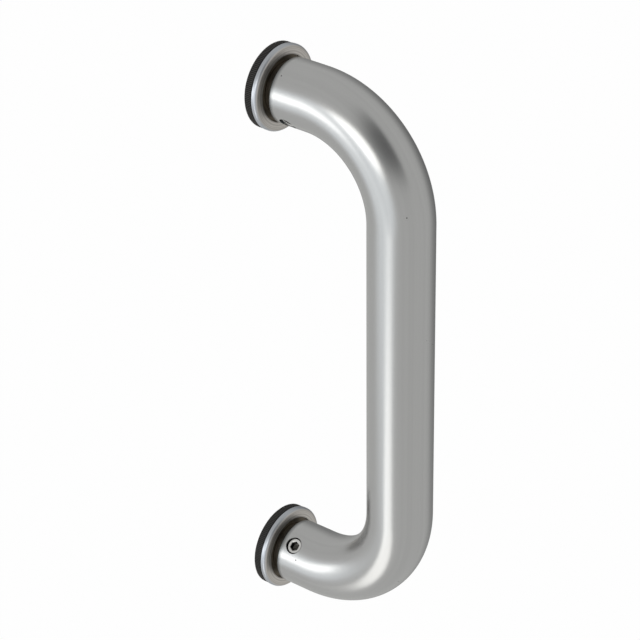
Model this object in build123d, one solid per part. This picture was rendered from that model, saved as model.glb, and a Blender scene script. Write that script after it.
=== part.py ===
"""Door pull handle: a bent round bar on two spigots, each with a rose and a rubber gasket against the door.

Millimetres. The door's face is the plane Y = 0 and the handle stands out of it towards -Y. The grip runs
along Z, and the origin is on the door's face, midway between the two fixing centres.
"""
import os
from math import radians, sqrt, tan

from build123d import *

# Bar
BAR_DIA = 19.0
FIXING_CENTRES = 150.0
GRIP_STANDOFF = 45.0
BEND_RADIUS = 29.0
BAR_EDGE = 0.3

# Gasket and rose, stacked outwards from the door
GASKET_THICK = 2.7
GASKET_INSET = 0.1
ROSE_HEIGHT = 1.8
ROSE_WEB = 0.8
ROSE_RIM = 2.6
ROSE_GAP = 0.4
ROSE_ROUND = 0.7
ROSE_DISH = 0.3
SHADOW_GAP = 1.7

# Spigot: neck through the gasket and rose, collar on the rose, shank up the bar's foot
COLLAR_INSET = 2.0
NECK_STEP = 1.0
SHANK_STEP = 0.5
SHANK_LENGTH = 12.4
BOLT_TAPPING_DIA = 6.8

# Grub screw, an M5 with a cone point
SCREW_DIA = 5.0
SCREW_FROM_BAR_END = 4.5
SCREW_TURN = 45.0
SCREW_SUNK = 0.5
SCREW_CONE_ANGLE = 120.0
SCREW_TIP_DIA = 0.8
SOCKET_SIDES = 6
SOCKET_ACROSS_FLATS = 2.5
SOCKET_DEPTH = 1.6
GROOVE_DEPTH = 1.0

# Fits
SLIP_FIT = 0.05
NECK_FIT = 0.1
THREAD_FIT = 0.02
BORE_END_GAP = 1.0

# Worked out from the sizes above. Depths are measured from the door's face.
bar_r = BAR_DIA / 2
opening_r = bar_r + ROSE_GAP
rose_r = opening_r + ROSE_RIM
gasket_r = rose_r - GASKET_INSET
collar_r = bar_r - COLLAR_INSET
neck_r = collar_r - NECK_STEP
shank_r = neck_r - SHANK_STEP
bore_r = shank_r + SLIP_FIT
bolt_r = BOLT_TAPPING_DIA / 2
screw_r = SCREW_DIA / 2
half_centres = FIXING_CENTRES / 2

rose_front = GASKET_THICK + ROSE_HEIGHT
web_front = GASKET_THICK + ROSE_WEB
bar_end = rose_front + SHADOW_GAP
shank_end = bar_end + SHANK_LENGTH
screw_depth = bar_end + SCREW_FROM_BAR_END
groove_bottom_r = shank_r - GROOVE_DEPTH

BASE = (Align.CENTER, Align.CENTER, Align.MIN)


def foot_plane(side):
    """Plane on the door's face at a fixing centre, its normal out along the foot. Side: 1 above, -1 below."""
    return Plane(origin=(0, 0, side * half_centres), x_dir=(1, 0, 0), z_dir=(0, -1, 0))


def screw_plane(side):
    """Plane on the foot's axis at the screw's depth, its normal out along the screw, to the D's inside."""
    inward = Location((0, 0, screw_depth), (0, 0, side * SCREW_TURN)) * Location((0, 0, 0), (0, -90, 0))
    return Plane(foot_plane(side).location * inward)


def disc(radius, start, end):
    """Plain cylinder on the foot's axis between two depths."""
    return Pos(0, 0, start) * Cylinder(radius, end - start, align=BASE)


def turned(outline):
    """Solid of revolution about the foot's axis, from a closed outline of radius and depth."""
    return revolve(Plane.XZ * make_face(Polyline(*outline, close=True)), Axis.Z)


def make_gasket():
    """Flat rubber ring between the rose and the door."""
    return disc(gasket_r, 0, GASKET_THICK) - disc(neck_r + NECK_FIT, 0, GASKET_THICK)


def make_rose():
    """Cup ring: a thin web on the gasket, and a rim whose face falls a little to the opening.

    The rim's outer edge is rounded off in two flats.
    """
    hole_r = neck_r + NECK_FIT
    round_middle = ROSE_ROUND * (1 - sqrt(0.5))
    outline = [
        (hole_r, GASKET_THICK),
        (rose_r, GASKET_THICK),
        (rose_r, rose_front - ROSE_ROUND),
        (rose_r - round_middle, rose_front - round_middle),
        (rose_r - ROSE_ROUND, rose_front),
        (opening_r, rose_front - ROSE_DISH),
        (opening_r, web_front),
        (hole_r, web_front),
    ]
    return turned(outline)


def make_spigot():
    """Turned peg: neck, collar and shank, with a groove for the grub screw, tapped right through."""
    groove_half = GROOVE_DEPTH * tan(radians(SCREW_CONE_ANGLE / 2))
    outline = [
        (bolt_r, 0),
        (neck_r, 0),
        (neck_r, web_front),
        (collar_r, web_front),
        (collar_r, bar_end),
        (shank_r, bar_end),
        (shank_r, screw_depth - groove_half),
        (groove_bottom_r, screw_depth),
        (shank_r, screw_depth + groove_half),
        (shank_r, shank_end),
        (bolt_r, shank_end),
    ]
    return turned(outline)


def make_screw():
    """Cone-point grub screw on its own axis, from the groove's bottom to just under the bar's surface."""
    tip_r = SCREW_TIP_DIA / 2
    slope = tan(radians(SCREW_CONE_ANGLE / 2))
    apex = groove_bottom_r + THREAD_FIT
    tip = apex + tip_r / slope
    shoulder = apex + screw_r / slope
    head = bar_r - SCREW_SUNK
    screw = turned([(0, tip), (tip_r, tip), (screw_r, shoulder), (screw_r, head), (0, head)])
    hexagon = RegularPolygon(SOCKET_ACROSS_FLATS / 2, SOCKET_SIDES, major_radius=False)
    socket = extrude(Plane.XY.offset(head) * hexagon, -SOCKET_DEPTH)
    return screw - socket


def make_bar():
    """Round bar bent to a D, with a bored foot at each end and a tapped hole through each foot's wall."""
    corners = [
        (0, -bar_end, half_centres),
        (0, -GRIP_STANDOFF, half_centres),
        (0, -GRIP_STANDOFF, -half_centres),
        (0, -bar_end, -half_centres),
    ]
    path = FilletPolyline(*corners, radius=BEND_RADIUS)
    bar = sweep(Plane(origin=path @ 0, z_dir=path % 0) * Circle(bar_r), path=path)
    bar = chamfer(bar.edges().group_by(Axis.Y)[-1], BAR_EDGE)
    bore_end = shank_end + BORE_END_GAP
    for side in (1, -1):
        bar -= foot_plane(side) * disc(bore_r, bar_end, bore_end)
        bar -= screw_plane(side) * Cylinder(screw_r + THREAD_FIT, BAR_DIA, align=BASE)
    return bar


def make_handle():
    """Every node's name with its shape."""
    nodes = {"handle_bar": make_bar()}
    for name, side in (("upper", 1), ("lower", -1)):
        nodes[name + "_gasket"] = foot_plane(side) * make_gasket()
        nodes[name + "_rose"] = foot_plane(side) * make_rose()
        nodes[name + "_spigot"] = foot_plane(side) * make_spigot()
    nodes["grub_screws"] = Compound([screw_plane(side) * make_screw() for side in (1, -1)])
    return nodes


os.makedirs("parts", exist_ok=True)
for node, shape in make_handle().items():
    shape.label = node
    export_step(shape, os.path.join("parts", node + ".step"))
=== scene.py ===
"""Door pull handle: a bent satin bar on two turned roses and two ribbed gaskets.

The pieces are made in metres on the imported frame. The door's face is the plane Y = 0, the handle stands out
of it towards -Y, and the grip runs along Z.
"""
import math
from typing import NamedTuple

import bmesh
import bpy
from bpy.props import FloatProperty, FloatVectorProperty, IntProperty, PointerProperty
from mathutils import Matrix, Vector


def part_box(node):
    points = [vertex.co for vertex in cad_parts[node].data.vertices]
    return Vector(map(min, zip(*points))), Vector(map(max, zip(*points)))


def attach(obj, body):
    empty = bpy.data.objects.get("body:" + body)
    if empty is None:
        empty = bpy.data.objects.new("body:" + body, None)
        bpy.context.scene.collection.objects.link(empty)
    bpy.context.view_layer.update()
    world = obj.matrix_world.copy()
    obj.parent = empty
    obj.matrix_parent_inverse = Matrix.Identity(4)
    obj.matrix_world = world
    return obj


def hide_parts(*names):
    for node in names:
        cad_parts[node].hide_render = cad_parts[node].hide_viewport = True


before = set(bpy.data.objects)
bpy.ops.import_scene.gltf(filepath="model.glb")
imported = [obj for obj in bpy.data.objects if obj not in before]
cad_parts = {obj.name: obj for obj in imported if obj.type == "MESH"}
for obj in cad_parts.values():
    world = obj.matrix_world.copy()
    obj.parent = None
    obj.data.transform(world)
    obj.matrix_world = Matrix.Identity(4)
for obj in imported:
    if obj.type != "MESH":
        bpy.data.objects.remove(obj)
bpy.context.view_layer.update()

bl_info = {
    "name": "Door Pull Handle",
    "version": (1, 0, 0),
    "blender": (4, 5, 0),
    "location": "View3D > Sidebar > Door Pull",
    "description": "Makes the pieces of a bent door pull handle and a plain studio for it",
    "category": "Object",
}

MM = 0.001
FULL_TURN = 2 * math.pi
FEET = {"upper": 1, "lower": -1}
WHITE = (1.0, 1.0, 1.0, 1.0)

# Vertex attributes that the finishes read
# Points inside the screw holes and sockets, darkened in colour as painted shade
HOLE_SHADE_MASK = "painted_shade"
SECTION_PLACE = "section_place"

# Faces round each turned skin
HOLE_SIDES = 64
ROSE_SIDES = 144
RIB_SIDES = 10
SPIGOT_SIDES = 72
SCREW_SIDES = 60
SOCKET_SIDES = 6

# Steps of a thread in one turn, and its flats at crest and root, each as a share of half the pitch
THREAD_STEPS = 8
THREAD_FLAT = 0.25

# How closely places and directions are compared
FRAME_DIGITS = 5
BEARING_DIGITS = 6
SAME_PLACE = 0.001 * MM
SKIN_TOLERANCE = 0.02 * MM
LEAST_FACING = 0.5

# Lines that a lathe leaves, in waves a metre
FINE_LINES = 9000.0
COARSE_LINES = 2700.0

# Sockets of a Mix node that mixes colours
MIX_MASK = 0
MIX_FIRST = 6
MIX_SECOND = 7
MIX_RESULT = 2

# A lamp's power for its level and area, and the least share of a direction that counts as in front
WATTS_A_LEVEL = 4.0
LEAST_FRONT = 0.05


class Sight(NamedTuple):
    """A lamp or card as the handle sees it: angles in degrees, half sizes as tangents of an angle."""

    azimuth: float
    elevation: float
    turn: float
    half_width: float
    half_height: float
    level: float = 1.0


LAMPS = {
    "left_lamp": Sight(
        azimuth=-127.5, elevation=-2.0, turn=-4.0, half_width=0.31, half_height=0.18, level=0.9,
    ),
    "upper_lamp": Sight(
        azimuth=-87.5, elevation=18.5, turn=-12.0, half_width=0.36, half_height=0.215, level=1.25,
    ),
    "lower_lamp": Sight(
        azimuth=-95.0, elevation=-47.5, turn=-15.0, half_width=0.25, half_height=0.385, level=0.8,
    ),
}
OPENING = Sight(azimuth=-107.5, elevation=-6.3, turn=-2.5, half_width=0.94, half_height=0.54)
DARK_CARD = Sight(azimuth=-1.0, elevation=46.0, turn=-1.5, half_width=3.0, half_height=0.44, level=0.13)
DARK_SIDE = Sight(azimuth=102.0, elevation=-11.0, turn=0.0, half_width=1.35, half_height=1.35, level=0.17)

BAR_LOW, BAR_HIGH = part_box("handle_bar")
ROSE_LOW, ROSE_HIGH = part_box("upper_rose")
GASKET_LOW, GASKET_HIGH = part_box("upper_gasket")
SPIGOT_LOW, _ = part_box("upper_spigot")
HALF_CENTRES = (ROSE_LOW.z + ROSE_HIGH.z) / 2


def framed(value):
    """A size read from the frame, to a hundredth of a millimetre."""
    return round(value, FRAME_DIGITS)


def length(name, description, default):
    """A length property in metres."""
    return FloatProperty(name=name, description=description, default=default, unit="LENGTH", precision=5)


def angle(name, description, degrees):
    """An angle property, given in degrees."""
    return FloatProperty(name=name, description=description, default=math.radians(degrees), subtype="ANGLE")


def share(name, description, default):
    """A number from nothing to one."""
    return FloatProperty(
        name=name, description=description, default=default, min=0.0, max=1.0, subtype="FACTOR",
    )


def count(name, description, default, least):
    """A whole number."""
    return IntProperty(name=name, description=description, default=default, min=least)


def colour(name, description, default):
    """A colour property."""
    return FloatVectorProperty(
        name=name, description=description, default=default, size=3, min=0.0, max=1.0, subtype="COLOR",
    )


class BarSettings(bpy.types.PropertyGroup):
    """Sizes and finish of the bent bar."""

    radius: length("Radius", "Half the bar's diameter", framed((BAR_HIGH.x - BAR_LOW.x) / 2))
    reach: length("Reach", "From the door to the outside of the grip", framed(-BAR_LOW.y))
    half_centres: length("Half centres", "Half the distance between the feet", framed(HALF_CENTRES))
    bend_radius: length("Bend radius", "Radius of the bends on the bar's centre line", 29.0 * MM)
    end_depth: length("End depth", "From the door to the end of a foot", framed(-BAR_HIGH.y))
    edge_round: length("Edge round", "Rounding of a foot's outer edge", 0.6 * MM)
    bore_radius: length("Bore radius", "Radius of the bore in a foot", 6.05 * MM)
    bore_edge: length("Bore edge", "Chamfer at the mouth of the bore", 0.4 * MM)
    bore_depth: length("Bore depth", "From the door to the bottom of the bore", 19.6 * MM)
    ring_step: length("Ring step", "Distance between rings of the skin", 1.2 * MM)
    sides: count("Sides", "Faces round the bar", 96, least=24)
    arc_steps: count("Arc steps", "Points along each bend", 96, least=16)
    tint: colour("Tint", "Colour of the satin metal", (0.605, 0.608, 0.607))
    roughness: share("Roughness", "Dullness of the satin finish", 0.255)
    streak_fade: share("Streak fade", "How far cloudy patches hide the streaks", 0.4)
    speck: share("Speck", "Strength of the small dark specks", 0.85)
    speck_dullness: share("Speck dullness", "Dullness that a speck adds", 0.25)
    speck_tint: colour("Speck tint", "Colour of the small dark specks", (0.10, 0.095, 0.09))
    # Painted shade: a dark band at each foot's end, where the rose's dark gap shades the bar; the tint also
    # darkens the screw holes as painted shade
    end_shade_width: length("Stain width", "Width of the dark stain at the end of a foot", 1.9 * MM)
    end_shade_edge: length("Stain edge", "Width of its darkest part", 0.2 * MM)
    stain: share("Stain", "Strength of the dark stain at the end of a foot", 0.85)
    foot_shade_tint: colour("Stain tint", "Colour of the stain and of the oily holes", (0.10, 0.11, 0.115))


class RoseSettings(bpy.types.PropertyGroup):
    """Sizes and finish of the turned roses."""

    radius: length("Radius", "Outer radius", framed((ROSE_HIGH.x - ROSE_LOW.x) / 2))
    back: length("Back", "From the door to the back of the rose", framed(-ROSE_HIGH.y))
    front: length("Front", "From the door to the front of the rim", framed(-ROSE_LOW.y))
    rounding: length("Rounding", "Rounding of the rim's outer edge", 0.9 * MM)
    opening_radius: length("Opening radius", "Radius inside the rim", 9.6 * MM)
    fall: length("Fall", "Fall of the rim's face to its outer edge", 0.1 * MM)
    web_front: length("Web front", "From the door to the front of the web", 3.5 * MM)
    hole_radius: length("Hole radius", "Radius of the hole for the spigot's neck", 6.6 * MM)
    edge_break: length("Edge break", "Small chamfer on the other edges", 0.12 * MM)
    tint: colour("Tint", "Colour of the polished wall", (0.575, 0.60, 0.64))
    roughness: share("Roughness", "Dullness of the polished wall", 0.37)
    face_tint: colour("Face tint", "Colour of the turned face", (0.69, 0.66, 0.625))
    face_roughness: share("Face roughness", "Dullness of the turned face", 0.40)
    # Painted shade: the recess inside the rim is darkened in colour
    recess_shade_tint: colour("Recess tint", "Colour of the dull recess", (0.20, 0.172, 0.135))


class GasketSettings(bpy.types.PropertyGroup):
    """Sizes and finish of the ribbed gaskets."""

    radius: length("Radius", "Outer radius over the ribs", framed((GASKET_HIGH.x - GASKET_LOW.x) / 2))
    thickness: length("Thickness", "From the door to the rose", framed(GASKET_HIGH.y - GASKET_LOW.y))
    hole_radius: length("Hole radius", "Radius of the hole for the spigot's neck", 6.6 * MM)
    edge_break: length("Edge break", "Small chamfer on the outer edges", 0.2 * MM)
    rib_count: count("Rib count", "Ribs round the edge", 144, least=12)
    rib_radius: length("Rib radius", "Radius of one rib", 0.17 * MM)
    rib_height: length("Rib height", "How far a rib stands out of the edge", 0.16 * MM)
    rib_end: length("Rib end", "From the gasket's face to the end of a rib", 0.3 * MM)
    tint: colour("Tint", "Colour of the rubber", (0.0105, 0.0098, 0.0092))
    rubbed_tint: colour("Rubbed tint", "Colour of the rubbed ribs", (0.05, 0.048, 0.046))
    roughness: share("Roughness", "Dullness of the rubber", 0.55)


class SpigotSettings(bpy.types.PropertyGroup):
    """Sizes and finish of the turned spigots."""

    neck_radius: length("Neck radius", "Radius through the gasket and the rose", 6.5 * MM)
    collar_radius: length("Collar radius", "Radius of the collar that carries the bar", 7.5 * MM)
    collar_back: length("Collar back", "From the door to the back of the collar", 3.5 * MM)
    collar_front: length("Collar front", "From the door to the front of the collar", 6.2 * MM)
    shank_radius: length("Shank radius", "Radius inside the bar", 6.0 * MM)
    end_depth: length("End depth", "From the door to the end of the shank", framed(-SPIGOT_LOW.y))
    groove_depth: length("Groove depth", "Depth of the groove for the screw's point", 1.0 * MM)
    groove_slope: angle("Groove slope", "Angle of the groove's sides to the axis", 30.0)
    edge_break: length("Edge break", "Small chamfer on the neck and the collar", 0.15 * MM)
    end_break: length("End break", "Chamfer on the shank's end", 0.6 * MM)
    thread_minor: length("Thread minor radius", "Crests of the thread in the bolt hole", 3.4 * MM)
    thread_major: length("Thread major radius", "Roots of the thread in the bolt hole", 4.0 * MM)
    thread_pitch: length("Thread pitch", "Rise of the bolt hole's thread in one turn", 1.25 * MM)
    mouth_radius: length("Mouth radius", "Radius of the bolt hole's countersunk mouths", 4.42 * MM)
    mouth_depth: length("Mouth depth", "Depth of the 45 degree countersink", 0.3 * MM)
    tint: colour("Tint", "Colour of the plated steel", (0.36, 0.34, 0.30))
    roughness: share("Roughness", "Dullness of the plated steel", 0.36)


class ScrewSettings(bpy.types.PropertyGroup):
    """Sizes and finish of the grub screws."""

    radius: length("Radius", "Radius over the thread", 2.5 * MM)
    thread_depth: length("Thread depth", "Depth of the thread", 0.4 * MM)
    thread_pitch: length("Thread pitch", "Rise of the thread in one turn", 0.8 * MM)
    hole_radius: length("Hole radius", "Radius of the tapped hole in the bar", 2.52 * MM)
    hole_edge: length("Hole edge", "Countersink at the mouth of the hole", 0.12 * MM)
    depth: length("Depth", "From the door to the screw's axis", 10.7 * MM)
    turn: angle("Turn", "Turn of the screw from the D's inside", 45.0)
    sunk: length("Sunk", "Depth of the screw's face in the bar", 0.62 * MM)
    tip: length("Tip", "From the foot's axis to the screw's flat tip", 5.25 * MM)
    tip_radius: length("Tip radius", "Radius of the flat tip", 0.4 * MM)
    point_slope: angle("Point slope", "Angle of the point's side to the screw's axis", 60.0)
    socket_flats: length("Socket flats", "Half the width across the socket's flats", 1.25 * MM)
    socket_depth: length("Socket depth", "Depth of the socket", 1.6 * MM)
    socket_edge: length("Socket edge", "Chamfer round the socket's mouth", 0.12 * MM)
    socket_point: length("Socket point", "Depth of the drilled cone under the socket", 0.4 * MM)
    edge_break: length("Edge break", "Chamfer round the face", 0.38 * MM)
    tint: colour("Tint", "Colour of the bright steel", (0.86, 0.855, 0.84))
    # Painted shade: the inside of the socket is darkened in colour
    socket_shade_tint: colour("Socket tint", "Colour of the oily socket", (0.09, 0.087, 0.08))
    roughness: share("Roughness", "Dullness of the bright steel", 0.24)


class StageSettings(bpy.types.PropertyGroup):
    """The floor, the lamps, the grey surround and the camera."""

    floor_drop: length("Floor drop", "From the middle of the handle down to the floor", 1.8)
    floor_size: length("Floor size", "Radius of the floor", 14.0)
    floor_tint: colour("Floor tint", "Colour of the floor", (0.9, 0.9, 0.9))
    floor_white: share("Floor white", "Share of plain white to the camera and to metal", 0.97)
    world_level: share("World level", "Level of the light from all round", 0.75)
    surround_radius: length("Surround radius", "Radius of the grey surround that metal sees", 1.7)
    surround_tint: colour("Surround tint", "Colour of the grey surround", (0.541, 0.541, 0.530))
    opening_tint: colour("Opening tint", "Colour of the light through the opening", (0.95, 0.98, 1.0))
    opening_fade: share("Opening fade", "Softness of the opening's rim", 0.31)
    card_edge: share("Card edge", "Softness of the dark card's sharp side", 0.045)
    card_fade: share("Card fade", "Softness of its upper and lower sides", 0.7)
    lamp_tint: colour("Lamp tint", "Colour of the lamps' light", (1.0, 0.985, 0.955))
    lamp_distance: length("Lamp distance", "From the middle of the handle to each lamp", 1.5)
    camera_azimuth: angle("Camera azimuth", "Turn of the camera about the upright axis", -50.201)
    camera_elevation: angle("Camera elevation", "Rise of the camera over the horizon", 28.985)
    camera_roll: angle("Camera roll", "Turn of the picture", -0.522)
    camera_distance: length("Camera distance", "From the handle's middle to the camera", 0.859823)
    camera_right: length("Camera right", "Shift of the camera to its right", 0.012283)
    camera_up: length("Camera up", "Shift of the camera upwards", 0.000809)
    camera_lens: FloatProperty(name="Lens", description="Focal length", default=168.74, unit="CAMERA")


class Wire:
    """A node's output in a tree, on which Python's operators add Math nodes."""

    def __init__(self, tree, socket=None):
        self.tree = tree
        self.socket = socket

    def node(self, kind, settings=None, inputs=None, output=0):
        """Add a node of a type, its settings first and then its sockets' values or links."""
        made = self.tree.nodes.new(kind)
        for name, value in (settings or {}).items():
            setattr(made, name, value)
        for key, value in (inputs or {}).items():
            if isinstance(value, Wire):
                self.tree.links.new(value.socket, made.inputs[key])
            else:
                made.inputs[key].default_value = value
        return Wire(self.tree, made.outputs[output] if len(made.outputs) else None)

    def given(self, name):
        """A named input of a geometry tree."""
        return self.node("NodeGroupInput", output=name)

    def place(self):
        """The place on the piece, in the handle's own frame."""
        return self.node("ShaderNodeTexCoord", output="Object")

    def attribute(self, name, output):
        """A vertex attribute of the piece."""
        return self.node("ShaderNodeAttribute", {"attribute_name": name}, output=output)

    def part(self, name):
        """One part of a vector: X, Y or Z."""
        return self.node("ShaderNodeSeparateXYZ", inputs={"Vector": self}, output=name)

    def math(self, operation, first, second):
        """Add a Math node on two values."""
        return self.node("ShaderNodeMath", {"operation": operation}, {0: first, 1: second})

    def __abs__(self):
        return self.node("ShaderNodeMath", {"operation": "ABSOLUTE"}, {0: self})

    def __add__(self, other):
        return self.math("ADD", self, other)

    def __radd__(self, other):
        return self.math("ADD", other, self)

    def __sub__(self, other):
        return self.math("SUBTRACT", self, other)

    def __rsub__(self, other):
        return self.math("SUBTRACT", other, self)

    def __mul__(self, other):
        return self.math("MULTIPLY", self, other)

    def __rmul__(self, other):
        return self.math("MULTIPLY", other, self)

    def __truediv__(self, other):
        return self.math("DIVIDE", self, other)

    def __pow__(self, other):
        return self.math("POWER", self, other)


class Axis:
    """A straight axis that turned skins are made about."""

    def __init__(self, origin, along, across):
        self.origin = Vector(origin)
        self.along = Vector(along).normalized()
        self.across = Vector(across).normalized()
        self.third = self.along.cross(self.across)

    def point(self, along, radius, turn):
        """The point at a distance along the axis, a radius and a turn about it."""
        spoke = self.across * math.cos(turn) + self.third * math.sin(turn)
        return self.origin + self.along * along + spoke * radius

    def bearing(self, place):
        """The turn of a place about the axis."""
        spoke = place - self.origin
        turn = math.atan2(spoke.dot(self.third), spoke.dot(self.across))
        return round(turn % FULL_TURN, BEARING_DIGITS)

    def reach(self, place):
        """A place's distance along the axis and away from it."""
        spoke = place - self.origin
        along = spoke.dot(self.along)
        return along, (spoke - self.along * along).length


def foot_axis(side, half_centres):
    """A foot's axis, from the door outwards."""
    return Axis((0.0, 0.0, side * half_centres), (0.0, -1.0, 0.0), (1.0, 0.0, 0.0))


def screw_axis(side, half_centres, screw):
    """A grub screw's axis, from the foot's axis out to the D's inside, turned to one side."""
    outwards = (-math.sin(screw.turn), 0.0, -side * math.cos(screw.turn))
    return Axis((0.0, -screw.depth, side * half_centres), outwards, (0.0, -1.0, 0.0))


def arc(centre, size, start, end, steps):
    """Outline points along a part of a circle, with angles in degrees from the axis."""
    points = []
    for step in range(steps + 1):
        bearing = math.radians(start + (end - start) * step / steps)
        points.append((centre[0] + size * math.cos(bearing), centre[1] + size * math.sin(bearing)))
    return points


def thread_radius(along, pitch, inner, outer):
    """A radius that follows a thread's rise, as a function of the turn."""

    def radius(turn):
        place = (along / pitch + turn / FULL_TURN) % 1.0
        away = abs(2 * place - 1)
        flank = (away - THREAD_FLAT) / (1 - 2 * THREAD_FLAT)
        return inner + (outer - inner) * min(1.0, max(0.0, flank))

    return radius


def thread(start, reach, pitch, inner, outer):
    """Outline points along a thread, from its start to within one step of its reach."""
    step = pitch / THREAD_STEPS
    places = [start + row * step for row in range(int(reach / step) + 1)]
    return [(along, thread_radius(along, pitch, inner, outer)) for along in places]


def turn_skin(mesh, axis, outline, sides, start_ring=None):
    """Add a turned skin along an outline of (along, radius); a radius may be a function of the turn."""
    ring = start_ring
    turns = [FULL_TURN * number / sides for number in range(sides)]
    for along, radius in outline:
        if radius == 0:
            fresh = [mesh.verts.new(axis.point(along, 0.0, 0.0))]
        else:
            sizes = [radius(turn) if callable(radius) else radius for turn in turns]
            fresh = [mesh.verts.new(axis.point(along, size, turn)) for size, turn in zip(sizes, turns)]
        if ring is not None:
            for number in range(sides):
                after = (number + 1) % sides
                corners = [ring[number % len(ring)], ring[after % len(ring)]]
                corners += [fresh[after % len(fresh)], fresh[number % len(fresh)]]
                mesh.faces.new(list(dict.fromkeys(corners)))
        ring = fresh


def turned_mesh(axis, outline, sides):
    """A closed turned skin along a closed outline."""
    mesh = bmesh.new()
    turn_skin(mesh, axis, outline + outline[:1], sides)
    bmesh.ops.remove_doubles(mesh, verts=mesh.verts, dist=SAME_PLACE)
    return mesh


def soft_edges(mesh, limit_degrees):
    """Smooth faces, with the edges that turn more than the limit kept sharp."""
    limit = math.radians(limit_degrees)
    for face in mesh.faces:
        face.smooth = True
    for edge in mesh.edges:
        edge.smooth = len(edge.link_faces) != 2 or edge.calc_face_angle() < limit


def clean_skin(data, limit_degrees):
    """Merge the points that a cut leaves almost in one place, and set the edges anew."""
    mesh = bmesh.new()
    mesh.from_mesh(data)
    bmesh.ops.remove_doubles(mesh, verts=mesh.verts, dist=SAME_PLACE)
    bmesh.ops.dissolve_degenerate(mesh, dist=SAME_PLACE, edges=mesh.edges)
    soft_edges(mesh, limit_degrees)
    mesh.to_mesh(data)
    mesh.free()


def new_object(name, mesh, material):
    """An object at the origin that holds a bmesh, faces outwards, and one material."""
    bmesh.ops.recalc_face_normals(mesh, faces=mesh.faces)
    data = bpy.data.meshes.new(name)
    mesh.to_mesh(data)
    mesh.free()
    data.materials.append(material)
    made = bpy.data.objects.new(name, data)
    bpy.context.scene.collection.objects.link(made)
    return made


def settle(made):
    """Turn an object's modifiers into its plain mesh."""
    graph = bpy.context.evaluated_depsgraph_get()
    data = bpy.data.meshes.new_from_object(made.evaluated_get(graph))
    made.modifiers.clear()
    old = made.data
    made.data = data
    bpy.data.meshes.remove(old)
    if not data.polygons:
        raise RuntimeError(made.name + " has no faces")


def machined_object(name, mesh, material, limit_degrees):
    """An object with crisp edges, whose flat faces stay flat beside small chamfers."""
    bmesh.ops.recalc_face_normals(mesh, faces=mesh.faces)
    soft_edges(mesh, limit_degrees)
    made = new_object(name, mesh, material)
    modifier = made.modifiers.new("flat_faces", "WEIGHTED_NORMAL")
    modifier.keep_sharp = True
    settle(made)
    return made


def run_tree(made, tree, values):
    """Run a geometry tree on an object and keep the result as its plain mesh."""
    modifier = made.modifiers.new(tree.name, "NODES")
    modifier.node_group = tree
    for item in tree.interface.items_tree:
        if item.in_out == "INPUT" and item.name in values:
            modifier[item.identifier] = values[item.name]
    settle(made)


def new_tree(name, **sockets):
    """A geometry tree with a geometry input and output, a finish, and an input of each given type."""
    tree = bpy.data.node_groups.new(name, "GeometryNodeTree")
    tree.interface.new_socket("Geometry", in_out="INPUT", socket_type="NodeSocketGeometry")
    for socket, kind in sockets.items():
        title = socket.replace("_", " ")
        tree.interface.new_socket(title, in_out="INPUT", socket_type="NodeSocket" + kind)
    tree.interface.new_socket("Finish", in_out="INPUT", socket_type="NodeSocketMaterial")
    tree.interface.new_socket("Geometry", in_out="OUTPUT", socket_type="NodeSocketGeometry")
    return Wire(tree)


def end_tree(wire, geometry):
    """End a geometry tree in real faces with their material."""
    real = wire.node("GeometryNodeRealizeInstances", inputs={"Geometry": geometry})
    finish = {"Geometry": real, "Material": wire.given("Finish")}
    dressed = wire.node("GeometryNodeSetMaterial", inputs=finish)
    wire.node("NodeGroupOutput", inputs={"Geometry": dressed})
    return wire.tree


def bent_bar_tree():
    """A tree that rounds a route's corners and sweeps the bar's round section along it."""
    wire = new_tree(
        "bent_bar", Bend_radius="Float", Arc_steps="Int", Ring_step="Float", Bar_radius="Float", Sides="Int",
    )
    route = wire.node("GeometryNodeMeshToCurve", inputs={"Mesh": wire.given("Geometry")})
    bends = {"Curve": route, "Count": wire.given("Arc steps"), "Radius": wire.given("Bend radius")}
    rounded = wire.node("GeometryNodeFilletCurve", {"mode": "POLY"}, bends)
    spacing = {"Curve": rounded, "Length": wire.given("Ring step")}
    spaced = wire.node("GeometryNodeResampleCurve", {"mode": "LENGTH"}, spacing)
    circle = {"Resolution": wire.given("Sides"), "Radius": wire.given("Bar radius")}
    section = wire.node("GeometryNodeCurvePrimitiveCircle", {"mode": "RADIUS"}, circle)
    skin = wire.node("GeometryNodeCurveToMesh", inputs={"Curve": spaced, "Profile Curve": section})
    return end_tree(wire, skin)


def rib_ring_tree():
    """A tree that stands ribs round the edge of a gasket and joins them to the gasket."""
    wire = new_tree(
        "rib_ring",
        Rib_count="Int", Ring_radius="Float", Rib_radius="Float", Rib_length="Float", Middle="Vector",
    )
    circle = {"Vertices": wire.given("Rib count"), "Radius": wire.given("Ring radius")}
    ring = wire.node("GeometryNodeMeshCircle", {"fill_type": "NONE"}, circle)
    rod = {"Vertices": RIB_SIDES, "Radius": wire.given("Rib radius"), "Depth": wire.given("Rib length")}
    rib = wire.node("GeometryNodeMeshCylinder", {"fill_type": "NGON"}, rod, "Mesh")
    stood = wire.node("GeometryNodeInstanceOnPoints", inputs={"Points": ring, "Instance": rib})
    upright = {"Rotation": (math.pi / 2, 0.0, 0.0), "Translation": wire.given("Middle")}
    turned = wire.node("GeometryNodeTransform", inputs={"Geometry": stood, **upright})
    ribs = wire.node("GeometryNodeRealizeInstances", inputs={"Geometry": turned})
    joined = {"operation": "UNION", "solver": "EXACT"}
    both = wire.node("GeometryNodeMeshBoolean", joined, {"Mesh 2": ribs})
    wire.tree.links.new(wire.given("Geometry").socket, both.socket.node.inputs["Mesh 2"])
    return end_tree(wire, both)


def start_material(name):
    """An empty material and a wire on its tree."""
    material = bpy.data.materials.new(name)
    material.use_nodes = True
    material.node_tree.nodes.clear()
    return material, Wire(material.node_tree)


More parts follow.
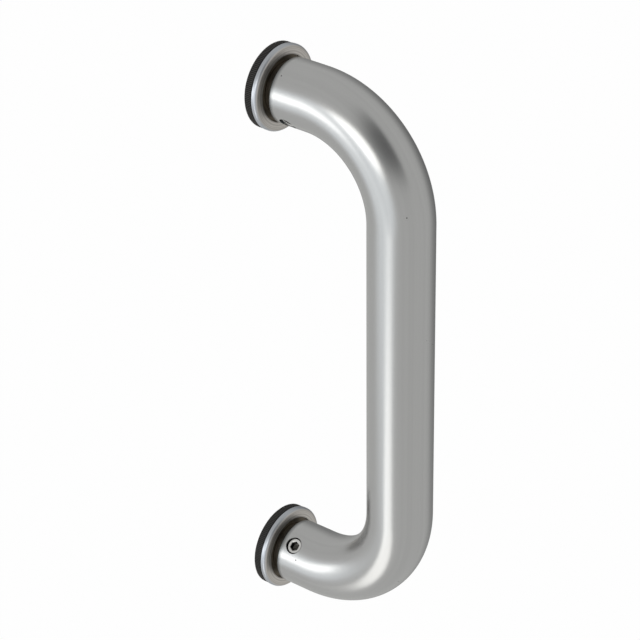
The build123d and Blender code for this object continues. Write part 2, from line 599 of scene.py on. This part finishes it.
def end_material(wire, **sockets):
    """End a material in one shader, with each socket's value or link."""
    inputs = {name.replace("_", " "): value for name, value in sockets.items()}
    shader = wire.node("ShaderNodeBsdfPrincipled", inputs=inputs)
    wire.node("ShaderNodeOutputMaterial", inputs={"Surface": shader})


def opaque(tint):
    """A colour as four numbers."""
    return (*tint, 1.0)


def noise(wire, where, scale, detail, rough=0.5):
    """Noise from nothing to one at a scale in waves a metre."""
    inputs = {"Vector": where, "Scale": scale, "Detail": detail, "Roughness": rough}
    return wire.node("ShaderNodeTexNoise", inputs=inputs)


def smooth_step(wire, value, start, end):
    """Nothing before the start, one after the end and a soft change between them."""
    inputs = {"Value": value, "From Min": start, "From Max": end}
    return wire.node("ShaderNodeMapRange", {"interpolation_type": "SMOOTHSTEP"}, inputs)


def mix_colours(wire, mask, first, second):
    """The first colour where the mask is nothing, the second where it is one."""
    inputs = {MIX_MASK: mask, MIX_FIRST: first, MIX_SECOND: second}
    return wire.node("ShaderNodeMix", {"data_type": "RGBA"}, inputs, MIX_RESULT)


def mix_shades(wire, mask, tint, dark, light):
    """A tint times one share where the mask is nothing, and times another where it is one."""
    shades = [opaque([part * amount for part in tint]) for amount in (dark, light)]
    return mix_colours(wire, mask, *shades)


def spread(middle, pattern, span):
    """A value that a pattern from nothing to one moves about its middle."""
    return middle - span / 2 + pattern * span


def bump(wire, height, strength, distance):
    """A normal from a height, at a distance in metres."""
    return wire.node("ShaderNodeBump", inputs={"Height": height, "Strength": strength, "Distance": distance})


def foot_distance(where, half_centres):
    """Distance from the axis of the nearer foot."""
    sideways = where.part("X")
    height = abs(where.part("Z")) - half_centres
    return (sideways * sideways + height * height) ** 0.5


def turned_lines(wire, distance, lines):
    """Lines that a lathe leaves round the axis of a foot, in waves a metre."""
    inputs = {"W": distance * lines, "Scale": 1.0, "Detail": 2.0}
    return wire.node("ShaderNodeTexNoise", {"noise_dimensions": "1D"}, inputs)


def satin_metal(bar):
    """Satin metal with faint lengthwise streaks, a fine grain, painted shade at the foot ends and in the
    screw holes, and a few small dark specks.
    """
    material, wire = start_material("satin_metal")
    where = wire.place()
    grain = noise(wire, where, scale=5200.0, detail=3.0, rough=0.6)
    cloud = noise(wire, where, scale=70.0, detail=2.0)
    cells = {"Vector": where, "Scale": 150.0}
    spots = wire.node("ShaderNodeTexVoronoi", {"feature": "F1"}, cells, "Distance")
    speck = 1.0 - smooth_step(wire, spots, start=0.018, end=0.045)
    streaks = noise(wire, wire.attribute(SECTION_PLACE, "Vector"), scale=7.0, detail=3.0, rough=0.55)
    streaked = mix_shades(wire, streaks, bar.tint, dark=0.93, light=1.07)
    metal = mix_colours(wire, cloud * bar.streak_fade, streaked, opaque(bar.tint))
    # Painted shade: darker towards each foot's end and inside the screw holes
    past_end = where.part("Y") + bar.end_depth
    stain = smooth_step(wire, past_end, start=-bar.end_shade_width, end=-bar.end_shade_edge) * bar.stain
    painted_shade = wire.attribute(HOLE_SHADE_MASK, "Fac")
    clean = mix_colours(wire, speck * bar.speck, metal, opaque(bar.speck_tint))
    tint = mix_colours(wire, wire.math("MAXIMUM", stain, painted_shade), clean, opaque(bar.foot_shade_tint))
    dullness = spread(bar.roughness, grain, span=0.06) + speck * bar.speck_dullness
    normal = bump(wire, grain, strength=0.10, distance=0.02 * MM)
    end_material(wire, Base_Color=tint, Metallic=1.0, Roughness=dullness, Normal=normal)
    return material


def turned_rose_metal(rose, half_centres):
    """A rose's metal: polished on its wall, dull with turned lines on its face, with painted shade in its
    recess.
    """
    material, wire = start_material("turned_metal")
    where = wire.place()
    distance = foot_distance(where, half_centres)
    fine = turned_lines(wire, distance, FINE_LINES)
    coarse = turned_lines(wire, distance, COARSE_LINES)
    across_round = (distance - (rose.radius - rose.rounding)) / rose.rounding
    face = 1.0 - smooth_step(wire, across_round, start=0.3, end=0.8)
    # Painted shade in the recess inside the rim
    recess = 1.0 - smooth_step(wire, distance - rose.opening_radius, start=-0.1 * MM, end=0.0)
    cloud = noise(wire, where, scale=160.0, detail=2.0)
    wall = mix_shades(wire, cloud, rose.tint, dark=0.96, light=1.04)
    lines = smooth_step(wire, coarse, start=0.35, end=0.65)
    turned = mix_shades(wire, lines, rose.face_tint, dark=0.8, light=1.15)
    metal = mix_colours(wire, face, wall, turned)
    tint = mix_colours(wire, recess, metal, opaque(rose.recess_shade_tint))
    dullness = spread(rose.roughness + face * (rose.face_roughness - rose.roughness), fine, span=0.06)
    normal = bump(wire, fine, strength=0.5, distance=0.02 * MM)
    end_material(wire, Base_Color=tint, Metallic=1.0, Roughness=dullness, Normal=normal)
    return material


def plated_steel(spigot, half_centres):
    """Dull plated steel of the spigots with turned lines and stains."""
    material, wire = start_material("plated_steel")
    where = wire.place()
    fine = turned_lines(wire, foot_distance(where, half_centres), FINE_LINES)
    stain = noise(wire, where, scale=400.0, detail=3.0)
    tint = mix_shades(wire, stain, spigot.tint, dark=0.7, light=1.3)
    dullness = spread(spigot.roughness, stain, span=0.1)
    normal = bump(wire, fine, strength=0.15, distance=0.02 * MM)
    end_material(wire, Base_Color=tint, Metallic=1.0, Roughness=dullness, Normal=normal)
    return material


def gasket_rubber(gasket, half_centres):
    """Black moulded rubber with a fine grain, a little grey bloom and rubbed ribs."""
    material, wire = start_material("gasket_rubber")
    where = wire.place()
    grain = noise(wire, where, scale=3000.0, detail=3.0, rough=0.6)
    patches = noise(wire, where, scale=260.0, detail=3.0)
    bloom = smooth_step(wire, patches, start=0.45, end=0.75)
    rubber = mix_shades(wire, bloom, gasket.tint, dark=1.0, light=1.8)
    valley = gasket.radius - gasket.rib_height
    rise = (foot_distance(where, half_centres) - valley) / gasket.rib_height
    rubbed = smooth_step(wire, rise, start=0.3, end=1.0)
    tint = mix_colours(wire, rubbed, rubber, opaque(gasket.rubbed_tint))
    dullness = spread(gasket.roughness, grain, span=0.1)
    normal = bump(wire, grain, strength=0.2, distance=0.04 * MM)
    end_material(wire, Base_Color=tint, Roughness=dullness, Normal=normal, Specular_IOR_Level=0.22)
    return material


def bright_steel(screw):
    """Bright steel of the grub screws with faint marks and painted shade in the socket."""
    material, wire = start_material("bright_steel")
    marks = noise(wire, wire.place(), scale=1500.0, detail=4.0, rough=0.6)
    metal = mix_shades(wire, marks, screw.tint, dark=0.9, light=1.05)
    # Painted shade inside the socket
    tint = mix_colours(wire, wire.attribute(HOLE_SHADE_MASK, "Fac"), metal, opaque(screw.socket_shade_tint))
    dullness = spread(screw.roughness, marks, span=0.1)
    normal = bump(wire, marks, strength=0.1, distance=0.02 * MM)
    end_material(wire, Base_Color=tint, Metallic=1.0, Roughness=dullness, Normal=normal)
    return material


def keep_piece(made, slot, *nodes):
    """Let a piece ride on the handle and stand for its CAD nodes."""
    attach(made, "root")
    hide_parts(*nodes)


def bar_middle(point, bar, standoff):
    """The nearest point of the bar's centre line, and the direction out of the D there."""
    side = 1 if point.z > 0 else -1
    bend_depth = standoff - bar.bend_radius
    bend_height = bar.half_centres - bar.bend_radius
    base = Vector((0.0, -min(-point.y, bend_depth), side * min(abs(point.z), bend_height)))
    outwards = (Vector((0.0, point.y, point.z)) - base).normalized()
    return base + outwards * bar.bend_radius, outwards


def bar_normal(point, bar, standoff):
    """The true normal of the bar's round skin at a point, or nothing away from that skin."""
    middle, _ = bar_middle(point, bar, standoff)
    spoke = point - middle
    if abs(spoke.length - bar.radius) < SKIN_TOLERANCE:
        return spoke.normalized()
    round_depth = bar.end_depth + bar.edge_round
    round_middle = bar.radius - bar.edge_round
    if -point.y < round_depth and spoke.length > round_middle:
        inner = Vector((spoke.x, 0.0, spoke.z)).normalized() * round_middle
        centre = Vector((inner.x, -round_depth, middle.z + inner.z))
        return (point - centre).normalized()
    return None


def true_bar_normals(data, bar, standoff):
    """Give the bar's skin its true normals, so that the cut holes leave no marks in its shine."""
    normals = [corner.vector.copy() for corner in data.corner_normals]
    for face in data.polygons:
        found = [bar_normal(data.vertices[number].co, bar, standoff) for number in face.vertices]
        if None in found:
            continue
        if min(normal.dot(face.normal) for normal in found) < LEAST_FACING:
            continue
        for corner, normal in zip(face.loop_indices, found):
            normals[corner] = normal
    data.normals_split_custom_set(normals)


def mark_bar(data, bar, standoff):
    """Mark the points inside the holes for painted shade, and where the others lie round the bar's section.
    """
    painted_shade = data.attributes.new(HOLE_SHADE_MASK, "FLOAT", "POINT")
    places = data.attributes.new(SECTION_PLACE, "FLOAT_VECTOR", "POINT")
    for vert in data.vertices:
        normal = bar_normal(vert.co, bar, standoff)
        if normal is None:
            painted_shade.data[vert.index].value = 1.0
            continue
        _, outwards = bar_middle(vert.co, bar, standoff)
        places.data[vert.index].vector = (normal.x, normal.dot(outwards), 0.0)


class DOORPULL_OT_bar(bpy.types.Operator):
    """Make the bent bar with its bored feet and tapped holes"""

    bl_idname = "door_pull.make_bar"
    bl_label = "Bent bar"

    def execute(self, context):
        bar = context.scene.door_pull_bar
        finish = satin_metal(bar)
        standoff = bar.reach - bar.radius
        skin_start = bar.end_depth + bar.edge_round
        made = new_object("bent_bar", self.route(bar, standoff, skin_start), finish)
        run_tree(made, bent_bar_tree(), {
            "Bend radius": bar.bend_radius,
            "Arc steps": bar.arc_steps,
            "Ring step": bar.ring_step,
            "Bar radius": bar.radius,
            "Sides": bar.sides,
            "Finish": finish,
        })
        self.close_feet(made, bar, skin_start)
        self.cut_screw_holes(made, bar, context.scene.door_pull_screw)
        clean_skin(made.data, limit_degrees=30.0)
        true_bar_normals(made.data, bar, standoff)
        mark_bar(made.data, bar, standoff)
        keep_piece(made, "bar", "handle_bar")
        return {"FINISHED"}

    def route(self, bar, standoff, skin_start):
        """The sharp route of the bar's centre line, from the lower foot to the upper one."""
        lower = FEET["lower"] * bar.half_centres
        upper = FEET["upper"] * bar.half_centres
        corners = [(-skin_start, lower), (-standoff, lower), (-standoff, upper), (-skin_start, upper)]
        mesh = bmesh.new()
        points = [mesh.verts.new((0.0, *corner)) for corner in corners]
        for first, second in zip(points, points[1:]):
            mesh.edges.new((first, second))
        return mesh

    def close_feet(self, made, bar, skin_start):
        """Add each foot's rounded edge, end face and bore."""
        mesh = bmesh.new()
        mesh.from_mesh(made.data)
        centre = (skin_start, bar.radius - bar.edge_round)
        outline = arc(centre, bar.edge_round, start=90.0, end=180.0, steps=5)[1:]
        outline += [
            (bar.end_depth, bar.bore_radius + bar.bore_edge),
            (bar.end_depth + bar.bore_edge, bar.bore_radius),
            (bar.bore_depth, bar.bore_radius),
            (bar.bore_depth, 0),
        ]
        open_points = [vert for vert in mesh.verts if vert.is_boundary]
        for side in FEET.values():
            axis = foot_axis(side, bar.half_centres)
            foot_points = [vert for vert in open_points if vert.co.z * side > 0]
            ring = sorted(foot_points, key=lambda vert: axis.bearing(vert.co))
            if len(ring) != bar.sides:
                raise RuntimeError("a foot's open ring has the wrong number of points")
            first = axis.bearing(ring[0].co)
            for number, vert in enumerate(ring):
                vert.co = axis.point(skin_start, bar.radius, first + FULL_TURN * number / bar.sides)
            turn_skin(mesh, axis, outline, bar.sides, ring)
        bmesh.ops.recalc_face_normals(mesh, faces=mesh.faces)
        mesh.to_mesh(made.data)
        mesh.free()

    def cut_screw_holes(self, made, bar, screw):
        """Cut the tapped hole through each foot's wall."""
        inside = bar.bore_radius / 2
        mouth = bar.radius - screw.hole_edge
        outside = bar.radius + screw.hole_edge
        outline = [
            (inside, 0),
            (inside, screw.hole_radius),
            (mouth, screw.hole_radius),
            (outside, screw.hole_radius + outside - mouth),
            (outside, 0),
        ]
        mesh = bmesh.new()
        for side in FEET.values():
            turn_skin(mesh, screw_axis(side, bar.half_centres, screw), outline, HOLE_SIDES)
        cutter = new_object("hole_cutter", mesh, made.data.materials[0])
        modifier = made.modifiers.new("screw_holes", "BOOLEAN")
        modifier.operation = "DIFFERENCE"
        modifier.solver = "EXACT"
        modifier.object = cutter
        settle(made)
        data = cutter.data
        bpy.data.objects.remove(cutter)
        bpy.data.meshes.remove(data)


class DOORPULL_OT_roses(bpy.types.Operator):
    """Make the two turned roses"""

    bl_idname = "door_pull.make_roses"
    bl_label = "Turned roses"

    def execute(self, context):
        rose = context.scene.door_pull_rose
        half_centres = context.scene.door_pull_bar.half_centres
        finish = turned_rose_metal(rose, half_centres)
        outline = self.outline(rose)
        for foot, side in FEET.items():
            mesh = turned_mesh(foot_axis(side, half_centres), outline, ROSE_SIDES)
            made = machined_object("turned_rose_" + foot, mesh, finish, limit_degrees=40.0)
            keep_piece(made, "rose", foot + "_rose")
        return {"FINISHED"}

    def outline(self, rose):
        """The rose's section: back, rounded rim, face, recess and hole."""
        chip = rose.edge_break
        rim = (rose.front - rose.fall - rose.rounding, rose.radius - rose.rounding)
        lip = (rose.front - chip, rose.opening_radius + chip)
        return [
            (rose.back + chip, rose.hole_radius),
            (rose.back, rose.hole_radius + chip),
            (rose.back, rose.radius - chip),
            (rose.back + chip, rose.radius),
            *arc(rim, rose.rounding, start=90.0, end=0.0, steps=10),
            *arc(lip, chip, start=0.0, end=-90.0, steps=4),
            (rose.web_front, rose.opening_radius),
            (rose.web_front, rose.hole_radius + chip),
            (rose.web_front - chip, rose.hole_radius),
        ]


class DOORPULL_OT_gaskets(bpy.types.Operator):
    """Make the two ribbed rubber gaskets"""

    bl_idname = "door_pull.make_gaskets"
    bl_label = "Ribbed gaskets"

    def execute(self, context):
        gasket = context.scene.door_pull_gasket
        half_centres = context.scene.door_pull_bar.half_centres
        finish = gasket_rubber(gasket, half_centres)
        tree = rib_ring_tree()
        outline = self.outline(gasket)
        for foot, side in FEET.items():
            mesh = turned_mesh(foot_axis(side, half_centres), outline, gasket.rib_count)
            made = new_object("ribbed_gasket_" + foot, mesh, finish)
            run_tree(made, tree, {
                "Rib count": gasket.rib_count,
                "Ring radius": gasket.radius - gasket.rib_radius,
                "Rib radius": gasket.rib_radius,
                "Rib length": gasket.thickness - 2 * gasket.rib_end,
                "Middle": (0.0, -gasket.thickness / 2, side * half_centres),
                "Finish": finish,
            })
            clean_skin(made.data, limit_degrees=40.0)
            keep_piece(made, "gasket", foot + "_gasket")
        return {"FINISHED"}

    def outline(self, gasket):
        """The gasket's section between its ribs."""
        chip = gasket.edge_break
        body_radius = gasket.radius - gasket.rib_height
        return [
            (0.0, gasket.hole_radius),
            (0.0, body_radius - chip),
            (chip, body_radius),
            (gasket.thickness - chip, body_radius),
            (gasket.thickness, body_radius - chip),
            (gasket.thickness, gasket.hole_radius),
        ]


class DOORPULL_OT_spigots(bpy.types.Operator):
    """Make the two turned spigots with their threaded bolt holes"""

    bl_idname = "door_pull.make_spigots"
    bl_label = "Turned spigots"

    def execute(self, context):
        spigot = context.scene.door_pull_spigot
        half_centres = context.scene.door_pull_bar.half_centres
        finish = plated_steel(spigot, half_centres)
        outline = self.bolt_hole(spigot) + self.outside(spigot, context.scene.door_pull_screw.depth)
        for foot, side in FEET.items():
            mesh = turned_mesh(foot_axis(side, half_centres), outline, SPIGOT_SIDES)
            made = machined_object("turned_spigot_" + foot, mesh, finish, limit_degrees=25.0)
            keep_piece(made, "spigot", foot + "_spigot")
        return {"FINISHED"}

    def bolt_hole(self, spigot):
        """The bolt hole's section, from the shank's end back to its mouth at the door."""
        lead = spigot.thread_major - spigot.thread_minor
        reach = spigot.end_depth - 2 * lead
        rows = thread(lead, reach, spigot.thread_pitch, spigot.thread_minor, spigot.thread_major)
        return [
            (spigot.end_depth, spigot.mouth_radius),
            *reversed(rows),
            (spigot.mouth_depth, spigot.mouth_radius - spigot.mouth_depth),
            (0.0, spigot.mouth_radius),
        ]

    def outside(self, spigot, screw_depth):
        """The outer section: neck, collar, and shank with its groove for the screw."""
        chip = spigot.edge_break
        groove_half = spigot.groove_depth / math.tan(spigot.groove_slope)
        return [
            (0.0, spigot.neck_radius - chip),
            (chip, spigot.neck_radius),
            (spigot.collar_back, spigot.neck_radius),
            (spigot.collar_back, spigot.collar_radius - chip),
            (spigot.collar_back + chip, spigot.collar_radius),
            (spigot.collar_front - chip, spigot.collar_radius),
            (spigot.collar_front, spigot.collar_radius - chip),
            (spigot.collar_front, spigot.shank_radius),
            (screw_depth - groove_half, spigot.shank_radius),
            (screw_depth, spigot.shank_radius - spigot.groove_depth),
            (screw_depth + groove_half, spigot.shank_radius),
            (spigot.end_depth - spigot.end_break, spigot.shank_radius),
            (spigot.end_depth, spigot.shank_radius - spigot.end_break),
        ]


class DOORPULL_OT_screws(bpy.types.Operator):
    """Make the two grub screws with their sockets, threads and points"""

    bl_idname = "door_pull.make_screws"
    bl_label = "Grub screws"

    def execute(self, context):
        screw = context.scene.door_pull_screw
        bar = context.scene.door_pull_bar
        face = bar.radius - screw.sunk
        floor = face - screw.socket_depth - screw.socket_point
        outline = self.point_and_thread(screw, face) + self.socket(screw, face, floor)
        mesh = bmesh.new()
        mask = mesh.verts.layers.float.new(HOLE_SHADE_MASK)
        for side in FEET.values():
            axis = screw_axis(side, bar.half_centres, screw)
            turn_skin(mesh, axis, outline, SCREW_SIDES)
            # Mark the socket's points for painted shade
            for vert in mesh.verts:
                along, away = axis.reach(vert.co)
                in_depth = floor - SAME_PLACE < along < face - SAME_PLACE
                if in_depth and away < screw.radius + SAME_PLACE:
                    vert[mask] = 1.0
        made = machined_object("grub_screw_pair", mesh, bright_steel(screw), limit_degrees=25.0)
        keep_piece(made, "screw", "grub_screws")
        return {"FINISHED"}

    def point_and_thread(self, screw, face):
        """The screw's section from its tip up the thread to the chamfer round its face."""
        chip = screw.edge_break
        root = screw.radius - screw.thread_depth
        point_end = screw.tip + (root - screw.tip_radius) / math.tan(screw.point_slope)
        rows = thread(point_end, face - chip - point_end, screw.thread_pitch, root, screw.radius)
        return [
            (screw.tip, 0),
            (screw.tip, screw.tip_radius),
            (point_end, root),
            *rows[1:],
            (face - chip, screw.radius - chip / 2),
            (face, screw.radius - chip),
        ]

    def socket(self, screw, face, floor):
        """The socket's section from the face down to its drilled cone."""
        half_side = math.pi / SOCKET_SIDES

        def flats(turn):
            return screw.socket_flats / math.cos((turn + half_side) % (2 * half_side) - half_side)

        corner = screw.socket_flats / math.cos(half_side)
        return [
            (face, corner + screw.socket_edge),
            (face - screw.socket_edge, flats),
            (face - screw.socket_depth, flats),
            (floor, 0),
        ]


def seen_rays(wire):
    """One for rays of the camera, of shine and of clear glass, nothing for the rest."""
    rays = wire.node("ShaderNodeLightPath", output="Is Camera Ray")
    for name in ("Is Glossy Ray", "Is Transmission Ray"):
        rays = wire.math("MAXIMUM", rays, wire.node("ShaderNodeLightPath", output=name))
    return rays


def directions(azimuth, elevation, turn):
    """The direction from the handle at two angles, and the sideways and upward ones there after a turn."""
    level = math.cos(elevation)
    aim = Vector((math.sin(azimuth) * level, -math.cos(azimuth) * level, math.sin(elevation)))
    level_side = Vector((math.cos(azimuth), math.sin(azimuth), 0.0))
    level_up = aim.cross(level_side)
    side = level_side * math.cos(turn) + level_up * math.sin(turn)
    return aim, side, aim.cross(side)


def sight_directions(sight):
    """The directions of a lamp or card."""
    return directions(math.radians(sight.azimuth), math.radians(sight.elevation), math.radians(sight.turn))


def put(name, data, place, axes):
    """Put a lamp or camera at a place, with its own sideways, upward and backward axes."""
    made = bpy.data.objects.new(name, data)
    made.matrix_world = Matrix.Translation(place) @ Matrix(axes).transposed().to_4x4()
    bpy.context.scene.collection.objects.link(made)
    return made


class DOORPULL_OT_stage(bpy.types.Operator):
    """Make the floor, the lamps, the grey surround and the camera"""

    bl_idname = "door_pull.make_stage"
    bl_label = "Studio"

    def execute(self, context):
        stage = context.scene.door_pull_stage
        context.scene.view_settings.view_transform = "Standard"
        self.make_world(context.scene, stage)
        self.make_floor(stage)
        self.make_surround(stage)
        for name, sight in LAMPS.items():
            self.make_lamp(name, sight, stage)
        context.scene.camera = self.make_camera(stage)
        return {"FINISHED"}

    def make_world(self, scene, stage):
        """Even light from all round, white to the camera and to metal."""
        world = bpy.data.worlds.new("studio")
        world.use_nodes = True
        world.node_tree.nodes.clear()
        wire = Wire(world.node_tree)
        level = stage.world_level + seen_rays(wire) * (1.0 - stage.world_level)
        light = wire.node("ShaderNodeBackground", inputs={"Color": WHITE, "Strength": level})
        wire.node("ShaderNodeOutputWorld", inputs={"Surface": light})
        scene.world = world

    def make_floor(self, stage):
        """A wide pale floor that keeps a soft shadow."""
        material, wire = start_material("pale_floor")
        matt = {"Base Color": opaque(stage.floor_tint), "Roughness": 1.0}
        lit = wire.node("ShaderNodeBsdfPrincipled", inputs=matt)
        plain = wire.node("ShaderNodeEmission", inputs={"Color": WHITE, "Strength": 1.0})
        mask = seen_rays(wire) * stage.floor_white
        both = wire.node("ShaderNodeMixShader", inputs={0: mask, 1: lit, 2: plain})
        wire.node("ShaderNodeOutputMaterial", inputs={"Surface": both})
        mesh = bmesh.new()
        drop = Matrix.Translation((0.0, 0.0, -stage.floor_drop))
        bmesh.ops.create_circle(mesh, cap_ends=True, segments=96, radius=stage.floor_size, matrix=drop)
        new_object("pale_floor", mesh, material)

    def make_surround(self, stage):
        """A round grey surround that only metal sees, with dark cards and an opening to the white studio."""
        material, wire = start_material("grey_surround")
        facing = wire.node("ShaderNodeVectorMath", {"operation": "NORMALIZE"}, {0: wire.place()})

        def along(direction):
            inputs = {0: facing, 1: direction}
            return wire.node("ShaderNodeVectorMath", {"operation": "DOT_PRODUCT"}, inputs, "Value")

        def seen(sight):
            aim, side, up = sight_directions(sight)
            near = wire.math("MAXIMUM", along(aim), LEAST_FRONT)
            front = smooth_step(wire, along(aim), start=0.0, end=2 * LEAST_FRONT)
            return along(side) / near, along(up) / near, front

        def oval(sight, start, end):
            across, upwards, front = seen(sight)
            wide = across / sight.half_width
            high = upwards / sight.half_height
            distance = (wide * wide + high * high) ** 0.5
            return (1.0 - smooth_step(wire, distance, start, end)) * front

        across, upwards, front = seen(DARK_CARD)
        height = abs(upwards) / DARK_CARD.half_height
        card = smooth_step(wire, across, start=-DARK_CARD.half_width, end=0.0) * front
        card = card * (1.0 - smooth_step(wire, across, -stage.card_edge, stage.card_edge))
        card = card * (1.0 - smooth_step(wire, height, 1.0 - stage.card_fade, 1.0 + stage.card_fade))
        dark = oval(DARK_SIDE, start=0.0, end=1.0)
        opening = oval(OPENING, start=1.0 - stage.opening_fade, end=1.0 + stage.opening_fade)
        tint = opaque(stage.surround_tint)
        for mask, sight in ((card, DARK_CARD), (dark, DARK_SIDE)):
            tint = mix_colours(wire, mask, tint, opaque([sight.level] * 3))
        glow = wire.node("ShaderNodeEmission", inputs={"Color": tint, "Strength": 1.0})
        clear = wire.node("ShaderNodeBsdfTransparent", inputs={"Color": opaque(stage.opening_tint)})
        both = wire.node("ShaderNodeMixShader", inputs={0: opening, 1: glow, 2: clear})
        wire.node("ShaderNodeOutputMaterial", inputs={"Surface": both})
        mesh = bmesh.new()
        bmesh.ops.create_icosphere(mesh, subdivisions=5, radius=stage.surround_radius)
        surround = new_object("grey_surround", mesh, material)
        for ray in ("camera", "diffuse", "transmission", "volume_scatter", "shadow"):
            setattr(surround, "visible_" + ray, False)

    def make_lamp(self, name, sight, stage):
        """An oval lamp that faces the handle."""
        aim, side, up = sight_directions(sight)
        distance = stage.lamp_distance
        data = bpy.data.lights.new(name, "AREA")
        data.shape = "ELLIPSE"
        data.size = 2 * sight.half_width * distance
        data.size_y = 2 * sight.half_height * distance
        area = math.pi * sight.half_width * sight.half_height * distance ** 2
        data.energy = WATTS_A_LEVEL * area * sight.level
        data.color = stage.lamp_tint
        put(name, data, aim * distance, (side, up, aim))

    def make_camera(self, stage):
        """The camera at the photograph's viewing angle."""
        back, right, up = directions(stage.camera_azimuth, stage.camera_elevation, stage.camera_roll)
        eye = back * stage.camera_distance + right * stage.camera_right + up * stage.camera_up
        data = bpy.data.cameras.new("camera")
        data.sensor_width = 36.0
        data.lens = stage.camera_lens
        data.clip_start = 0.01
        data.clip_end = 50.0
        return put("camera", data, eye, (right, up, back))


class DOORPULL_PT_panel(bpy.types.Panel):
    """List the handle's pieces in the sidebar"""

    bl_idname = "DOORPULL_PT_panel"
    bl_label = "Door Pull"
    bl_space_type = "VIEW_3D"
    bl_region_type = "UI"
    bl_category = "Door Pull"

    def draw(self, context):
        for operator in OPERATORS:
            self.layout.operator(operator.bl_idname, text=operator.bl_label)


SETTINGS = {
    "door_pull_bar": BarSettings,
    "door_pull_rose": RoseSettings,
    "door_pull_gasket": GasketSettings,
    "door_pull_spigot": SpigotSettings,
    "door_pull_screw": ScrewSettings,
    "door_pull_stage": StageSettings,
}
OPERATORS = (
    DOORPULL_OT_bar,
    DOORPULL_OT_roses,
    DOORPULL_OT_gaskets,
    DOORPULL_OT_spigots,
    DOORPULL_OT_screws,
    DOORPULL_OT_stage,
)


def register():
    """Register the settings, the operators and the panel."""
    for name, group in SETTINGS.items():
        bpy.utils.register_class(group)
        setattr(bpy.types.Scene, name, PointerProperty(type=group))
    for made in (*OPERATORS, DOORPULL_PT_panel):
        bpy.utils.register_class(made)


def unregister():
    """Take the panel, the operators and the settings away again."""
    for made in (DOORPULL_PT_panel, *reversed(OPERATORS)):
        bpy.utils.unregister_class(made)
    for name, group in reversed(SETTINGS.items()):
        delattr(bpy.types.Scene, name)
        bpy.utils.unregister_class(group)


def main():
    """Make every piece and the studio."""
    register()
    bpy.ops.door_pull.make_bar()
    bpy.ops.door_pull.make_roses()
    bpy.ops.door_pull.make_gaskets()
    bpy.ops.door_pull.make_spigots()
    bpy.ops.door_pull.make_screws()
    bpy.ops.door_pull.make_stage()


if __name__ == "__main__":
    main()
